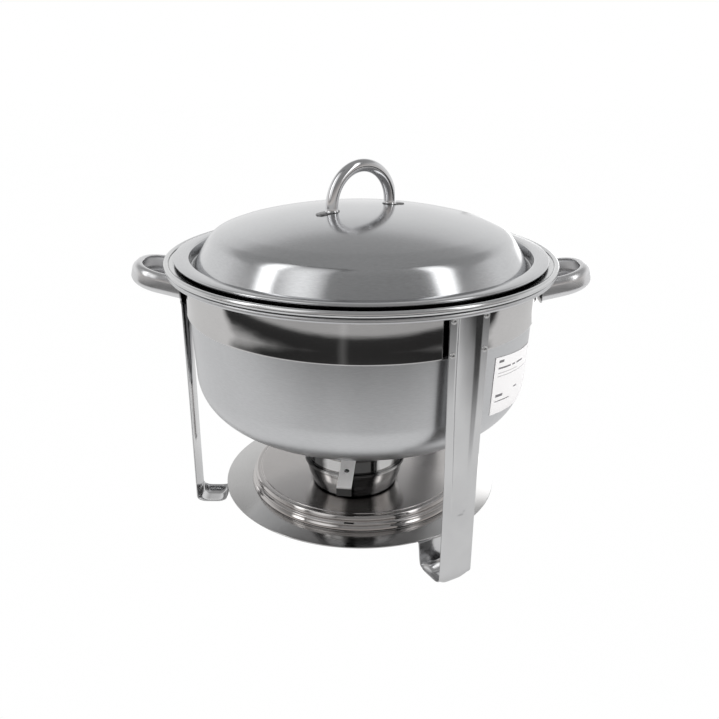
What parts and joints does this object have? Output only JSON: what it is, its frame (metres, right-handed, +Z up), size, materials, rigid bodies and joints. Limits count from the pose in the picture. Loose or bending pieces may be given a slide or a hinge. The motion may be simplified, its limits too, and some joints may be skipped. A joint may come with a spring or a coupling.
{
  "type": "chafing dish",
  "caption": "Round chafing dish food warmer: domed lid, food pan and water pan hung in a three-legged stand over a fuel burner with a swinging damper.",
  "frame": {"origin": "on the surface it stands on, below the middle of the dish", "axes": "+Z up, +X along the line through the two carrying handles, -Y the front"},
  "size_m": [0.4554, 0.3842, 0.372],
  "materials": {
    "polished_band": "polished stainless steel",
    "stamped_leg": "polished stainless steel, slightly wavy from stamping",
    "rivet_steel": "bright steel",
    "mirror_base": "mirror-polished stainless steel",
    "handle_chrome": "bright chrome-like polish",
    "satin_pan": "satin stainless steel with fine turned lines",
    "polished_pan": "semi-polished stainless steel",
    "satin_lid": "satin stainless steel with fine turned lines",
    "burner_steel": "polished stainless steel",
    "damper_steel": "matt rolled steel",
    "paper_label": "matt coated paper, blank"
  },
  "bodies": {
    "stand": {"stand_ring": "polished_band", "leg_front_right": "stamped_leg", "leg_back": "stamped_leg", "leg_left": "stamped_leg", "leg_rivets": "rivet_steel", "base_ring": "mirror_base", "burner_tray": "mirror_base", "side_handle_right": "handle_chrome", "handle_ears_right": "handle_chrome", "side_handle_left": "handle_chrome", "handle_ears_left": "handle_chrome", "handle_rivets": "rivet_steel"},
    "water_pan": {"water_pan": "satin_pan", "label": "paper_label"},
    "food_pan": {"food_pan": "polished_pan"},
    "lid": {"lid": "satin_lid", "lid_handle": "handle_chrome", "lid_handle_tabs": "rivet_steel"},
    "burner": {"fuel_cup": "burner_steel", "burner_cover": "burner_steel", "damper_rivet": "rivet_steel"},
    "damper": {"damper": "damper_steel"}
  },
  "joints": [
    {"name": "water_pan_lift", "type": "slide", "parent": "stand", "child": "water_pan", "axis": [0, 0, 1], "range_m": [0, 0.16]},
    {"name": "food_pan_lift", "type": "slide", "parent": "water_pan", "child": "food_pan", "axis": [0, 0, 1], "range_m": [0, 0.11]},
    {"name": "lid_lift", "type": "slide", "parent": "food_pan", "child": "lid", "axis": [0, 0, 1], "range_m": [0, 0.15]},
    {"name": "burner_pull", "type": "slide", "parent": "stand", "child": "burner", "axis": [-0.4848, -0.8746, 0], "range_m": [0, 0.2]},
    {"name": "damper_swing", "type": "hinge", "parent": "burner", "child": "damper", "pos_m": [-0.00055, 0.00824, 0.0948], "axis": [0, 0, 1], "range_deg": [-70, 70]}
  ]
}
